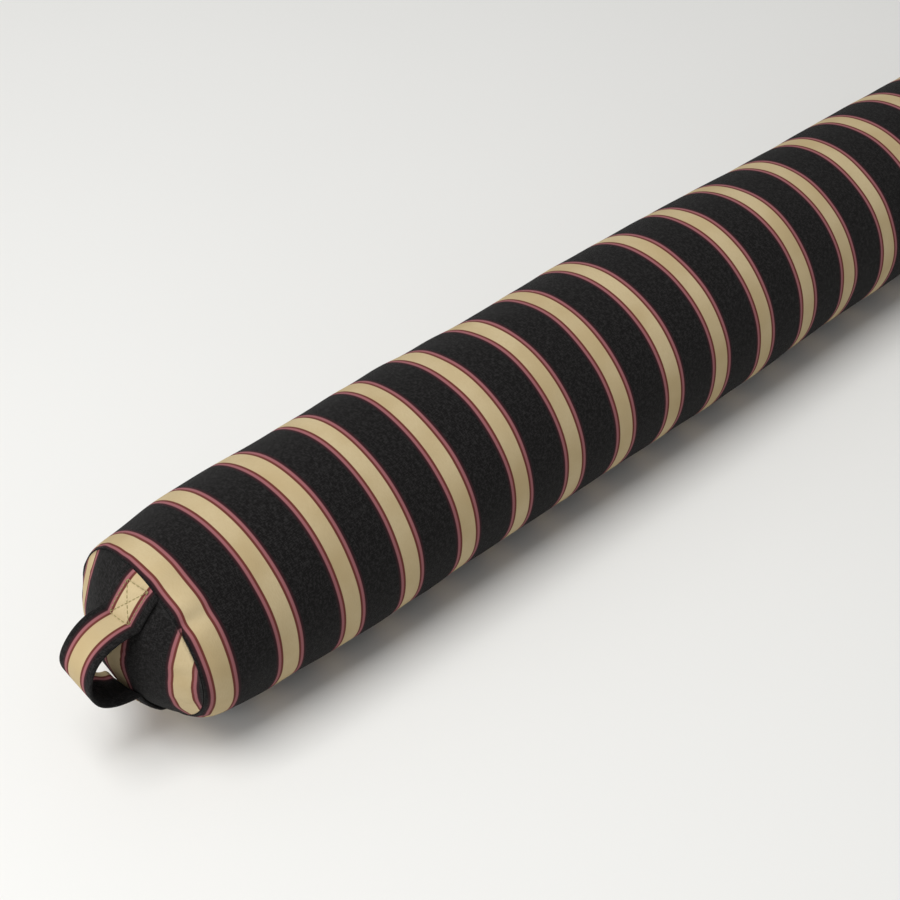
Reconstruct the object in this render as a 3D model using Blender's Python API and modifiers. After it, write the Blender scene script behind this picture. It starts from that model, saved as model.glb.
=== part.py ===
"""A ticking door draught stopper: a long stuffed tube with round end panels and a carrying loop.

The cushion lies along X with the loop at -X. It rests on z = 0, and x = 0 is half way
between its two end seams. Its zip runs along the back, at +Y.
"""

from math import atan2, cos, exp, hypot, pi, radians, sin, sqrt, tan

import bmesh
import bpy
from mathutils import Vector

# Driving dimensions, in metres.
COVER_LENGTH = 0.900  # between the two end seams
COVER_RADIUS = 0.060  # of the full part of the tube
SINK = 0.003  # how far the underside is pressed flat
SEAM_TUCK = 0.0072  # how far the end seam is drawn in from the full radius
TUCK_REACH = 0.006  # length over which the shoulder rounds back out
TAPER = 0.0012  # slow narrowing towards each end
TAPER_REACH = 0.060
PANEL_BULGE = 0.021  # how far the stuffing pushes an end panel out past its seam
SEAM_ALLOWANCE = 0.004  # edge of an end panel that is turned in along the tube

CLOTH = 0.0009  # ticking of the cover
LINER_CLOTH = 0.0005  # calico of the inner pad
GAP = 0.0003  # between pieces that lie on each other
THREAD = 0.0003  # radius of a row of stitches

LOOP_WIDTH = 0.028
LOOP_CLOTH = 0.0020  # the strap is four layers of ticking
LOOP_SIDE = -0.005  # the loop's middle, across the end panel
LOOP_TOP = 0.030  # height of the upper root above the tube's axis
LOOP_BOTTOM = -0.013  # height of the lower root
LOOP_REACH = 0.030  # how far the free span stands out past its roots
LOOP_ROUND = 0.8  # below 1, the loop is squarer than a half circle
LOOP_TONGUE = 0.08  # share of the strap's width left at the free span's very ends
LOOP_SWING = radians(20)  # room for the free span to swing, each way
LOOP_SEAM_MARGIN = 0.0022  # between the strap's sewn ends and the end seam
BOX_HEIGHT = 0.0145  # of the stitched box, from its first row to its last
BOX_MARGIN = 0.0042  # from the strap's edge to the stitched box
BOX_END_MARGIN = 0.0012  # from the root to the first row of stitches

ZIP_LENGTH = 0.500  # of the slot in the cover
ZIP_SLOT = 0.008
ZIP_ANGLE = radians(8)  # of the zip above the tube's widest line, at the back
TAPE_WIDTH = 0.012
TAPE_CLOTH = 0.0005
TAPE_OVERRUN = 0.010
COIL_RADIUS = 0.0009
COIL_SPLIT = 0.0004  # between the two closed coils
STOP_LENGTH = 0.003
TOPSTITCH_OFFSET = 0.004  # from the slot's edge
SLIDER_LENGTH = 0.009
SLIDER_PLATE = 0.0010
SLIDER_FLANGE = 0.0009
BRIDGE_LENGTH = 0.005
BRIDGE_WIDTH = 0.0016
BRIDGE_WALL = 0.0008
BRIDGE_ROOM = 0.0020  # height inside the bridge, for the pull's bar
PULL_LENGTH = 0.024
PULL_WIDTH = 0.0056
PULL_THICKNESS = 0.0009
PULL_EYE = 0.0036
PULL_EYE_WIDTH = 0.0028

# Facets, and where the tube's rings of facets lie, counted from each end seam.
SIDES = 40
PANEL_RINGS = 5
SHOULDER_INSETS = (0.003, 0.008, 0.018, 0.060, 0.160)
STRAP_ROWS = 24
STRAP_COLUMNS = 6
TAB_ROWS = 5

# Places that follow from the sizes above.
AXIS_HEIGHT = COVER_RADIUS - SINK
HALF = COVER_LENGTH / 2
MOUTH_RADIUS = COVER_RADIUS - SEAM_TUCK - TAPER
PANEL_RADIUS = MOUTH_RADIUS - CLOTH - GAP
TAPE_DEPTH = CLOTH + GAP
LINER_DEPTH = CLOTH + 2 * THREAD + 3 * GAP  # leaves room for the seam's thread and the tapes
FILLING_DEPTH = LINER_DEPTH + LINER_CLOTH + GAP
COIL_OFFSET = COIL_RADIUS + COIL_SPLIT / 2
COIL_HEIGHT = COVER_RADIUS - TAPE_DEPTH + GAP + COIL_RADIUS


def new_material(name, colour, roughness, metallic=0.0):
    material = bpy.data.materials.new(name)
    material.use_nodes = True
    shader = material.node_tree.nodes["Principled BSDF"]
    shader.inputs["Base Color"].default_value = (*colour, 1)
    shader.inputs["Roughness"].default_value = roughness
    shader.inputs["Metallic"].default_value = metallic
    return material


def new_object(name, data, material=None, parent=None):
    data.name = name
    obj = bpy.data.objects.new(name, data)
    parts.objects.link(obj)
    obj.parent = parent
    if material:
        data.materials.append(material)
    return obj


def mesh_object(name, shape, material, parent=None, smooth=True):
    """Turns a bmesh into a named object and frees the bmesh."""
    mesh = bpy.data.meshes.new(name)
    shape.to_mesh(mesh)
    shape.free()
    if smooth:
        mesh.shade_smooth()
        mesh.set_sharp_from_angle(angle=radians(40))
    return new_object(name, mesh, material, parent)


def thicken(obj, thickness, offset):
    solidify = obj.modifiers.new("Cloth", "SOLIDIFY")
    solidify.thickness = thickness
    solidify.offset = offset
    solidify.use_even_offset = True


def tube_object(name, points, radius, material, parent=None, cyclic=False):
    """A round tube along straight runs between the points."""
    curve = bpy.data.curves.new(name, "CURVE")
    curve.dimensions = "3D"
    curve.bevel_depth = radius
    curve.bevel_resolution = 1
    curve.use_fill_caps = not cyclic
    spline = curve.splines.new("POLY")
    spline.points.add(len(points) - 1)
    for point, place in zip(spline.points, points):
        point.co = (*place, 1)
    spline.use_cyclic_u = cyclic
    return new_object(name, curve, material, parent)


def as_mesh(obj):
    """Replaces a curve object by a closed mesh of the same shape, which a Boolean can use."""
    bpy.context.view_layer.update()
    graph = bpy.context.evaluated_depsgraph_get()
    mesh = bpy.data.meshes.new_from_object(obj.evaluated_get(graph))
    shape = bmesh.new()
    shape.from_mesh(mesh)
    bmesh.ops.remove_doubles(shape, verts=shape.verts, dist=0.00001)
    shape.to_mesh(mesh)
    shape.free()
    name = obj.name
    place = obj.matrix_world.copy()
    parent = obj.parent
    bpy.data.objects.remove(obj)
    made = new_object(name, mesh, parent=parent)
    made.matrix_world = place
    return made


def box_shape(low, high):
    """A bmesh box between two corners."""
    shape = bmesh.new()
    bmesh.ops.create_cube(shape, size=1)
    size = Vector(high) - Vector(low)
    bmesh.ops.scale(shape, vec=size, verts=shape.verts)
    bmesh.ops.translate(shape, vec=(Vector(low) + Vector(high)) / 2, verts=shape.verts)
    return shape


def combine(obj, other, operation):
    """Joins or cuts obj by a helper that is kept hidden in the cutters' collection."""
    boolean = obj.modifiers.new(operation.title(), "BOOLEAN")
    boolean.operation = operation
    boolean.solver = "EXACT"
    boolean.object = other
    for collection in other.users_collection:
        collection.objects.unlink(other)
    cutters.objects.link(other)
    other.hide_render = True
    other.display_type = "WIRE"


def cover_radius(x):
    """Outer radius of the cover where it is x from the middle."""
    inset = HALF - abs(x)
    return COVER_RADIUS - SEAM_TUCK * exp(-inset / TUCK_REACH) - TAPER * exp(-inset / TAPER_REACH)


def panel_x(radius):
    """How far an end panel's outer face lies past its seam, at this radius."""
    return PANEL_BULGE * (1 - (radius / PANEL_RADIUS) ** 2)


def stations(trim):
    """Places along the tube, close together at the shoulders, starting this far from each seam."""
    insets = [trim] + [inset for inset in SHOULDER_INSETS if inset > trim]
    near = [-HALF + inset for inset in insets]
    return near + [0.0] + [-x for x in reversed(near)]


def spun(profile, depth):
    """Spins (x, radius) points about the tube's axis and presses the underside flat.

    depth is how far the skin lies inside the cover's outer face.
    """
    shape = bmesh.new()
    points = [shape.verts.new((x, 0, radius)) for x, radius in profile]
    edges = [shape.edges.new(pair) for pair in zip(points, points[1:])]
    bmesh.ops.spin(
        shape, geom=points + edges, axis=(1, 0, 0), cent=(0, 0, 0), angle=2 * pi, steps=SIDES
    )
    bmesh.ops.remove_doubles(shape, verts=shape.verts, dist=0.00001)
    lowest = depth - AXIS_HEIGHT
    for vertex in shape.verts:
        vertex.co.z = max(vertex.co.z, lowest)
    bmesh.ops.recalc_face_normals(shape, faces=shape.faces)
    bmesh.ops.translate(shape, vec=(0, 0, AXIS_HEIGHT), verts=shape.verts)
    return shape


def zip_frame():
    """An empty on the tube's axis whose +Z points out through the zip."""
    frame = bpy.data.objects.new("zip_frame", None)
    parts.objects.link(frame)
    frame.location = (0, 0, AXIS_HEIGHT)
    frame.rotation_euler = (ZIP_ANGLE - pi / 2, 0, 0)
    return frame


def make_cover():
    """The ticking tube, with the zip's slot along its back."""
    profile = [(x, cover_radius(x)) for x in stations(0.0)]
    cover = mesh_object("cover_body", spun(profile, 0.0), ticking)
    thicken(cover, CLOTH, -1)
    half = ZIP_LENGTH / 2
    low = (-half, -ZIP_SLOT / 2, COVER_RADIUS - 4 * CLOTH)
    high = (half, ZIP_SLOT / 2, COVER_RADIUS + 4 * CLOTH)
    slot = mesh_object("zip_slot_cutter", box_shape(low, high), None, zip_frame_object, smooth=False)
    combine(cover, slot, "DIFFERENCE")


def make_end_panel(name, side):
    """A round panel of ticking, puffed out by the stuffing, its edge turned in along the tube."""
    radii = [PANEL_RADIUS * step / PANEL_RINGS for step in range(PANEL_RINGS + 1)]
    profile = [(side * (HALF + panel_x(radius)), radius) for radius in radii]
    profile.append((side * (HALF - SEAM_ALLOWANCE), PANEL_RADIUS))
    panel = mesh_object(name, spun(profile, 0.0), ticking)
    thicken(panel, CLOTH, -1)


def make_end_seam_stitch(name, side):
    """The ring of thread that joins an end panel's turned-in edge to the tube."""
    radius = PANEL_RADIUS - CLOTH - GAP - THREAD
    bpy.ops.mesh.primitive_torus_add(
        major_radius=radius,
        minor_radius=THREAD,
        major_segments=SIDES,
        minor_segments=4,
        location=(side * (HALF - SEAM_ALLOWANCE / 2), 0, AXIS_HEIGHT),
        rotation=(0, pi / 2, 0),
    )
    ring = bpy.context.object
    for collection in ring.users_collection:
        collection.objects.unlink(ring)
    parts.objects.link(ring)
    ring.name = name
    ring.data.shade_smooth()
    ring.data.materials.append(dark_thread)


def make_back_seam_stitch(name, side):
    """The row of thread that closes the cover between the zip and one end."""
    start = ZIP_LENGTH / 2 + TAPE_OVERRUN + 2 * GAP
    places = [start] + [x for x in stations(2 * SEAM_ALLOWANCE) if x > start]
    depth = CLOTH + GAP + THREAD
    points = [(side * x, 0, cover_radius(x) - depth) for x in places]
    tube_object(name, points, THREAD, dark_thread, zip_frame_object)


def strap_face(height, across, lift):
    """A point that lies this far out from the end panel, under or on the strap."""
    side = LOOP_SIDE + across
    lean = 2 * PANEL_BULGE / PANEL_RADIUS**2
    outward = Vector((-1, lean * side, lean * height)).normalized()
    foot = Vector((-HALF - panel_x(hypot(height, side)), side, AXIS_HEIGHT + height))
    return foot + lift * outward


def strap_grid(rows, columns, place):
    """A grid of the strap's width whose points are placed by place(along, across), both 0 to 1."""
    shape = bmesh.new()
    bmesh.ops.create_grid(shape, x_segments=rows, y_segments=columns, size=0.5)
    for vertex in shape.verts:
        vertex.co = place(vertex.co.x + 0.5, vertex.co.y + 0.5)
    return shape


def seam_height(across):
    """Height at which the strap meets the end seam, this far from the strap's middle."""
    return sqrt((PANEL_RADIUS - LOOP_SEAM_MARGIN) ** 2 - (LOOP_SIDE + across) ** 2)


def make_tab(name, root, side):
    """A sewn-down end of the strap, flat on the end panel from its root to the end seam."""

    def place(along, across):
        across = (across - 0.5) * LOOP_WIDTH
        height = root + (side * seam_height(across) - root) * along
        return strap_face(height, across, GAP)

    shape = strap_grid(TAB_ROWS, STRAP_COLUMNS, place)
    if side < 0:
        bmesh.ops.reverse_faces(shape, faces=shape.faces)
    tab = mesh_object(name, shape, ticking)
    thicken(tab, LOOP_CLOTH, 1)


def make_carry_loop():
    """The free span of the strap, a loop for two fingers, that swings about the line of its roots.

    Its ends narrow towards the strap's middle, which leaves them room to turn.
    """
    upper = strap_face(LOOP_TOP, 0, LOOP_CLOTH + 3 * GAP)
    lower = strap_face(LOOP_BOTTOM, 0, LOOP_CLOTH + 3 * GAP)
    axis = upper - lower
    half_height = axis.length / 2
    clear = LOOP_WIDTH / 2 * tan(LOOP_SWING) + LOOP_CLOTH

    def place(along, across):
        angle = (along - 0.5) * pi
        out = LOOP_REACH * cos(angle) ** LOOP_ROUND if 0 < along < 1 else 0.0
        width = LOOP_WIDTH * min(1.0, LOOP_TONGUE + (1 - LOOP_TONGUE) * out / clear)
        return Vector((-out, (across - 0.5) * width, half_height * sin(angle)))

    loop = mesh_object("carry_loop", strap_grid(STRAP_ROWS, STRAP_COLUMNS, place), ticking)
    loop.location = (upper + lower) / 2
    loop.rotation_euler = (0, atan2(axis.x, axis.z), 0)
    thicken(loop, LOOP_CLOTH, -1)


def make_box_stitch(name, low, high):
    """A stitched box with a cross in it, lying on a sewn end of the strap."""
    half = LOOP_WIDTH / 2 - BOX_MARGIN
    lift = LOOP_CLOTH + 2 * GAP + THREAD
    corners = [(low, -half), (low, half), (high, half), (high, -half)]

    def run(start, end, count):
        steps = [step / count for step in range(count + 1)]
        heights = [start[0] + (end[0] - start[0]) * step for step in steps]
        sides = [start[1] + (end[1] - start[1]) * step for step in steps]
        return [strap_face(height, side, lift) for height, side in zip(heights, sides)]

    outline = []
    for start, end in zip(corners, corners[1:] + corners[:1]):
        outline += run(start, end, 4)[:-1]
    box = as_mesh(tube_object(name, outline, THREAD, olive_thread, cyclic=True))
    box.data.materials.append(olive_thread)
    for number in (0, 1):
        rows = run(corners[number], corners[number + 2], 6)
        cross = as_mesh(tube_object(f"{name}_cross_{number}", rows, 0.9 * THREAD, None))
        combine(box, cross, "UNION")


def make_tape(name, side):
    """One of the zip's two woven tapes, sewn inside the slot's edge."""
    half = ZIP_LENGTH / 2 + TAPE_OVERRUN
    radius = COVER_RADIUS - TAPE_DEPTH
    shape = bmesh.new()
    bmesh.ops.create_grid(shape, x_segments=2, y_segments=4, size=0.5)
    for vertex in shape.verts:
        angle = side * (COIL_SPLIT / 2 + (vertex.co.y + 0.5) * TAPE_WIDTH) / radius
        vertex.co = (vertex.co.x * 2 * half, radius * sin(angle), radius * cos(angle))
    if side < 0:
        bmesh.ops.reverse_faces(shape, faces=shape.faces)
    tape = mesh_object(name, shape, zip_cloth, zip_frame_object)
    thicken(tape, TAPE_CLOTH, -1)


def make_coil(name, side):
    """One of the zip's two rows of teeth, as its plain outer shape."""
    half = ZIP_LENGTH / 2 - STOP_LENGTH - 2 * GAP
    points = [(end * half, side * COIL_OFFSET, COIL_HEIGHT) for end in (-1, 0, 1)]
    tube_object(name, points, COIL_RADIUS, zip_nylon, zip_frame_object)


def make_stop(name, side):
    """A stop that ends the travel of the slider."""
    outer = side * (ZIP_LENGTH / 2 - GAP)
    inner = side * (ZIP_LENGTH / 2 - STOP_LENGTH - GAP)
    half = 2 * COIL_RADIUS + COIL_SPLIT / 2
    low = (min(outer, inner), -half, COIL_HEIGHT - COIL_RADIUS)
    high = (max(outer, inner), half, COIL_HEIGHT + COIL_RADIUS)
    stop = mesh_object(name, box_shape(low, high), zip_metal, zip_frame_object, smooth=False)
    bevel = stop.modifiers.new("Rounded", "BEVEL")
    bevel.width = COIL_RADIUS / 3
    bevel.segments = 2


def slider_rest_x():
    """The slider's middle when the zip is closed, at the loop's end."""
    return -ZIP_LENGTH / 2 + STOP_LENGTH + 2 * GAP + SLIDER_LENGTH / 2


def slider_top():
    """Height of the slider's top plate above the tube's axis."""
    return COIL_HEIGHT + COIL_RADIUS + GAP + SLIDER_PLATE


def pull_axis_height():
    return slider_top() + BRIDGE_ROOM / 2


def make_slider():
    """The slider: a plate over the coils, a flange down each side, and a bridge for the pull."""
    half_length = SLIDER_LENGTH / 2
    inner = 2 * COIL_RADIUS + COIL_SPLIT / 2 + GAP
    outer = inner + SLIDER_FLANGE
    foot = COVER_RADIUS - TAPE_DEPTH + GAP
    top = slider_top()
    body = mesh_object(
        "zip_slider",
        box_shape((-half_length, -outer, foot - top), (half_length, outer, 0)),
        zip_metal,
        zip_frame_object,
        smooth=False,
    )
    body.location = (slider_rest_x(), 0, top)
    channel = box_shape(
        (-SLIDER_LENGTH, -inner, foot - top - SLIDER_PLATE), (SLIDER_LENGTH, inner, -SLIDER_PLATE)
    )
    half_bridge = BRIDGE_LENGTH / 2
    bridge = box_shape(
        (-half_bridge, -BRIDGE_WIDTH / 2, -SLIDER_PLATE / 2),
        (half_bridge, BRIDGE_WIDTH / 2, BRIDGE_ROOM + BRIDGE_WALL),
    )
    room = box_shape(
        (BRIDGE_WALL - half_bridge, -BRIDGE_WIDTH, 0),
        (half_bridge - BRIDGE_WALL, BRIDGE_WIDTH, BRIDGE_ROOM),
    )
    tools = (
        ("slider_channel_cutter", channel, "DIFFERENCE"),
        ("slider_bridge_helper", bridge, "UNION"),
        ("slider_bridge_cutter", room, "DIFFERENCE"),
    )
    for name, shape, operation in tools:
        helper = mesh_object(name, shape, None, zip_frame_object, smooth=False)
        helper.location = body.location
        combine(body, helper, operation)


def make_pull():
    """The pull, a flat tag whose end bar turns inside the slider's bridge."""
    curve = bpy.data.curves.new("zip_pull", "CURVE")
    curve.dimensions = "2D"
    curve.fill_mode = "BOTH"
    curve.extrude = PULL_THICKNESS / 2
    bar = PULL_THICKNESS
    half = PULL_WIDTH / 2
    round_count = 8
    turns = [pi / 2 - pi * step / round_count for step in range(round_count + 1)]
    tip = PULL_LENGTH - half
    outer = [(-bar / 2, -half), (-bar / 2, half)]
    outer += [(tip + half * cos(turn), half * sin(turn)) for turn in turns]
    eye = PULL_EYE_WIDTH / 2
    inner = [(bar / 2, -eye), (bar / 2, eye), (bar / 2 + PULL_EYE, eye), (bar / 2 + PULL_EYE, -eye)]
    for outline in (outer, inner):
        spline = curve.splines.new("POLY")
        spline.points.add(len(outline) - 1)
        for point, (x, y) in zip(spline.points, outline):
            point.co = (x, y, 0, 1)
        spline.use_cyclic_u = True
    pull = new_object("zip_pull", curve, zip_metal, zip_frame_object)
    pull.location = (slider_rest_x(), 0, pull_axis_height())


def make_topstitch():
    """The row of thread sewn round the slot, through the cover and both tapes."""
    half = ZIP_LENGTH / 2 + TOPSTITCH_OFFSET
    reach = (ZIP_SLOT / 2 + TOPSTITCH_OFFSET) / COVER_RADIUS
    radius = COVER_RADIUS + GAP + THREAD
    places = [(-half + 2 * half * step / 4, reach) for step in range(5)]
    places += [(half, reach * turn) for turn in (0.5, 0.0, -0.5)]
    places += [(half - 2 * half * step / 4, -reach) for step in range(5)]
    places += [(-half, reach * turn) for turn in (-0.5, 0.0, 0.5)]
    points = [(x, radius * sin(turn), radius * cos(turn)) for x, turn in places]
    tube_object("zip_topstitch", points, THREAD, dark_thread, zip_frame_object, cyclic=True)


def liner_end_x(radius):
    """How far an end of the inner pad lies past the end of its tube."""
    return LINER_BULGE * (1 - (radius / LINER_END_RADIUS) ** 2)


def make_liner():
    """The calico bag that holds the stuffing: a tube and two round ends."""
    end = HALF - LINER_TRIM
    places = stations(LINER_TRIM)
    profile = [(x, cover_radius(x) - LINER_DEPTH) for x in places]
    tube = mesh_object("liner_tube", spun(profile, LINER_DEPTH), calico)
    thicken(tube, LINER_CLOTH, -1)
    for name, side in (("liner_near_end", -1), ("liner_far_end", 1)):
        radii = [LINER_END_RADIUS * step / PANEL_RINGS for step in range(PANEL_RINGS + 1)]
        profile = [(side * (end + liner_end_x(radius)), radius) for radius in radii]
        disc = mesh_object(name, spun(profile, LINER_DEPTH), calico)
        thicken(disc, LINER_CLOTH, -1)


def make_filling():
    """The fibre stuffing, as the solid that it fills."""
    end = HALF - LINER_TRIM
    inset = LINER_CLOTH + GAP
    radii = [(LINER_END_RADIUS - 2 * inset) * step / PANEL_RINGS for step in range(PANEL_RINGS)]
    cap = [(end + liner_end_x(radius) - 2 * inset, radius) for radius in radii]
    tube = [(x, cover_radius(x) - FILLING_DEPTH) for x in stations(LINER_TRIM + inset)]
    profile = [(-x, radius) for x, radius in cap] + tube + cap[::-1]
    mesh_object("filling", spun(profile, FILLING_DEPTH), fibre)


for old in list(bpy.data.objects):
    bpy.data.objects.remove(old)
parts = bpy.data.collections.new("draught_stopper")
cutters = bpy.data.collections.new("cutters")
bpy.context.scene.collection.children.link(parts)
bpy.context.scene.collection.children.link(cutters)
cutters.hide_render = True

LINER_TRIM = SEAM_ALLOWANCE + 0.004
LINER_END_RADIUS = cover_radius(HALF - LINER_TRIM) - LINER_DEPTH - LINER_CLOTH - GAP
LINER_BULGE = 0.016

ticking = new_material("ticking", (0.030, 0.029, 0.029), 0.85)
calico = new_material("calico", (0.72, 0.68, 0.58), 0.90)
fibre = new_material("fibre", (0.85, 0.85, 0.83), 0.95)
dark_thread = new_material("dark_thread", (0.03, 0.03, 0.03), 0.6)
olive_thread = new_material("olive_thread", (0.30, 0.29, 0.13), 0.55)
zip_cloth = new_material("zip_cloth", (0.02, 0.02, 0.02), 0.8)
zip_nylon = new_material("zip_nylon", (0.025, 0.025, 0.025), 0.4)
zip_metal = new_material("zip_metal", (0.35, 0.33, 0.30), 0.35, 1.0)

zip_frame_object = zip_frame()
bpy.context.view_layer.update()

make_cover()
for end_name, end_side in (("near_end", -1), ("far_end", 1)):
    make_end_panel(f"{end_name}_panel", end_side)
    make_end_seam_stitch(f"{end_name}_seam_stitch", end_side)
make_back_seam_stitch("back_seam_near_stitch", -1)
make_back_seam_stitch("back_seam_far_stitch", 1)

make_tab("loop_upper_tab", LOOP_TOP, 1)
make_tab("loop_lower_tab", LOOP_BOTTOM, -1)
make_carry_loop()
first_row = LOOP_TOP + BOX_END_MARGIN
make_box_stitch("upper_box_stitch", first_row, first_row + BOX_HEIGHT)
first_row = LOOP_BOTTOM - BOX_END_MARGIN
make_box_stitch("lower_box_stitch", first_row - BOX_HEIGHT, first_row)

make_tape("zip_upper_tape", -1)
make_tape("zip_lower_tape", 1)
make_coil("zip_upper_coil", -1)
make_coil("zip_lower_coil", 1)
make_stop("zip_top_stop", -1)
make_stop("zip_bottom_stop", 1)
make_slider()
make_pull()
make_topstitch()
make_liner()
make_filling()
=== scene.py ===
from math import atan2, ceil, cos, exp, hypot, pi, radians, sin, sqrt

import bpy
import numpy as np
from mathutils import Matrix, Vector


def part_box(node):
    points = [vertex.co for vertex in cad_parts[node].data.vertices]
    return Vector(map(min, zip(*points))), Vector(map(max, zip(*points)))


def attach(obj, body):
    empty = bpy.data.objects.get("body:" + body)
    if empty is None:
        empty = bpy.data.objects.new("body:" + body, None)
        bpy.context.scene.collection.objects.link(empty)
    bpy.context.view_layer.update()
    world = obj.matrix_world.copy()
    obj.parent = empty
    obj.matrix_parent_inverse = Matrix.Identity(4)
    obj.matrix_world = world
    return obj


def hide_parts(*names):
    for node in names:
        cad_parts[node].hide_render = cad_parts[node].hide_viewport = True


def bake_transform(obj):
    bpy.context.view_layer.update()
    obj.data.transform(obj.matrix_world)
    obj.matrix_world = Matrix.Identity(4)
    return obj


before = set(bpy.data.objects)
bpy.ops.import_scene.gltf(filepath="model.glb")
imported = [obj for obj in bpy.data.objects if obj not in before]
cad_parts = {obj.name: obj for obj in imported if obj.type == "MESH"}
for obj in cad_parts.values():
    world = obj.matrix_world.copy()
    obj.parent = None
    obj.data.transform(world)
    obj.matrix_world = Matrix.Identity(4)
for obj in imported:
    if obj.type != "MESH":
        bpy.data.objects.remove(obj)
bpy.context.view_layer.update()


# ---------------------------------------------------------------------------------------------
# The cover: a tube of striped cotton ticking, 900 mm between its end seams, stuffed tight. The
# stripes are woven along the warp and run round the tube. It is closed by a lengthwise seam at
# the back, with a slot for the zip, and its own weight presses the underside flat.

cover_low, cover_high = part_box("cover_body")
HALF = cover_high.x  # from the middle to an end seam
COVER_RADIUS = (cover_high.y - cover_low.y) / 2
AXIS_HEIGHT = cover_high.z - COVER_RADIUS
CREASE = HALF - 0.0018  # from the middle to the crease that shows where an end is sewn in

# The radius grows from the seam inwards: a short tuck, a slack ring and a long taper.
SEAM_TUCK = 0.0072
TUCK_REACH = 0.006
TAPER = 0.0012
TAPER_REACH = 0.060
SLACK_END = 0.0020
SLACK_START = 0.004
SLACK_REACH = 0.035
FULLNESS = 0.0014
FULLNESS_REACH = 0.12
MOUTH_RADIUS = COVER_RADIUS - SEAM_TUCK - TAPER

# Less stuffing has gone into the far half, where the tube thins and swells again at these places.
THIN_WAIST = 0.0036
WAIST_THINS = (-0.05, 0.16)
WAIST_SWELLS = (0.28, 0.44)

# The underside of each end is lifted, and the back of its shoulder is flatter. Turns are in
# degrees round the tube, from the back at 0 over the top at 90; a hump has a middle and a width.
END_LIFT = 0.0115
LIFT_REACH = 0.018
LIFT_ROUNDNESS = 1.6
SHOULDER_PULL = 0.0030
SHOULDER_TURN = (52, 34)
SHOULDER_INSET = (0.018, 0.022)

# The seam stands fuller at these turns: middle, width and height.
SEAM_FULLNESS = ((66, 24, 0.0045), (176, 26, 0.0026))
SEAM_FULLNESS_REACH = 0.009

# Puckers across the near seam: turn, width in degrees, depth and length.
PUCKERS = (
    (137, 4.2, 0.0052, 0.017),
    (116, 7.0, 0.0020, 0.020),
    (158, 6.0, 0.0014, 0.013),
    (80, 5.0, 0.0014, 0.014),
)
PUCKER_START = 0.003
PUCKER_SPARES = 0.6  # the share of a pucker's depth that the seam itself is spared

COLUMNS = 96
FULL_STEP = 0.0055
SEAM_INSETS = (0.0, 0.0012, 0.0026, 0.0044, 0.0066, 0.0092, 0.0124, 0.0162, 0.0208)
STRIPE_REPEAT = 0.0423
FIRST_STRIPE = 0.012  # from the loop's end seam to the middle of the first cream band
STRIPE_TILT = 0.0019
TILT_TURN = 45
TILT_REACH = 0.03
TILT_LOST = 0.7  # the share of the tilt that the seams straighten
GATHER = 0.0022
GATHERED = (-0.06, 0.12)

# Unevenness of the stuffed cloth: a height, and how far from a seam it fades. The first two fade
# towards the seam, the gathers away from it.
LUMPS = (0.0009, 0.03)
RIPPLES = (0.0003, 0.01)
GATHERS = (0.0006, 0.011)


def zip_middle():
    """Middle of the closed zip's two coils, as seen along the tube, from the tube's axis."""
    corners = [corner for name in ("zip_upper_coil", "zip_lower_coil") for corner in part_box(name)]
    middle = sum(corners, Vector()) / 4
    return middle.y, middle.z - AXIS_HEIGHT


ZIP_ANGLE = atan2(*reversed(zip_middle()))
OUT = Vector((0, cos(ZIP_ANGLE), sin(ZIP_ANGLE)))  # from the axis through the back seam
SLOT_HALF_LENGTH = 0.250
SLOT_HALF_WIDTH = 0.004


def ease(value, low, high):
    """0 at low, 1 at high, and a smooth rise between."""
    share = np.clip((value - low) / (high - low), 0, 1)
    return share * share * (3 - 2 * share)


def hump(value, middle, width):
    """1 where the value is at the middle, and a smooth fall to both sides."""
    return np.exp(-(((value - middle) / width) ** 2))


def cover_radius(x):
    """Outer radius of the cover where it is x from the middle."""
    inset = np.maximum(0, CREASE - np.abs(x))
    tuck = SEAM_TUCK * np.exp(-inset / TUCK_REACH) + TAPER * np.exp(-inset / TAPER_REACH)
    slack = SLACK_END * np.exp(-inset / SLACK_REACH) * (1 - np.exp(-inset / SLACK_START))
    waist = THIN_WAIST * ease(x, *WAIST_THINS) * (1 - ease(x, *WAIST_SWELLS))
    fullness = FULLNESS * (1 - np.exp(-inset / FULLNESS_REACH))
    return COVER_RADIUS - tuck - slack - waist + fullness


def drawn_in(points):
    """Lifts an end's underside, flattens the back of its shoulder and fills its seam out."""
    points = np.asarray(points, float)
    y, z = points[..., 1], points[..., 2] - AXIS_HEIGHT
    size = np.maximum(np.hypot(y, z), 1e-6)
    inset = np.maximum(0, CREASE - np.abs(points[..., 0]))
    rim = np.minimum(1, (size / MOUTH_RADIUS) ** 2)
    underside = np.maximum(0, -z / size) ** LIFT_ROUNDNESS
    lift = END_LIFT * rim * np.exp(-inset / LIFT_REACH) * underside
    turn = np.degrees(np.arctan2(z, y)) % 360
    pull = SHOULDER_PULL * hump(turn, *SHOULDER_TURN) * rim * hump(inset, *SHOULDER_INSET)
    near_seam = rim * np.exp(-inset / SEAM_FULLNESS_REACH)
    for middle, width, height in SEAM_FULLNESS:
        pull = pull - height * hump(turn, middle, width) * near_seam
    moved = points.copy()
    moved[..., 1] -= pull * y / size
    moved[..., 2] += lift - pull * z / size
    return moved


def waves(seed, count, longest, shortest, turns):
    """Smooth unevenness, about -1 to 1: a function of x and the angle round the tube."""
    draw = np.random.default_rng(seed)
    lengths = 2 * pi / draw.uniform(shortest, longest, count)
    rounds = draw.integers(turns[0], turns[1] + 1, count)
    phases = draw.uniform(0, 2 * pi, (2, count))

    def height(x, angle):
        total = np.zeros(np.broadcast(x, angle).shape)
        for length, round_count, phase, shift in zip(lengths, rounds, *phases):
            total = total + np.sin(length * x + phase) * np.cos(round_count * angle + shift)
        return total / sqrt(count)

    return height


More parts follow.
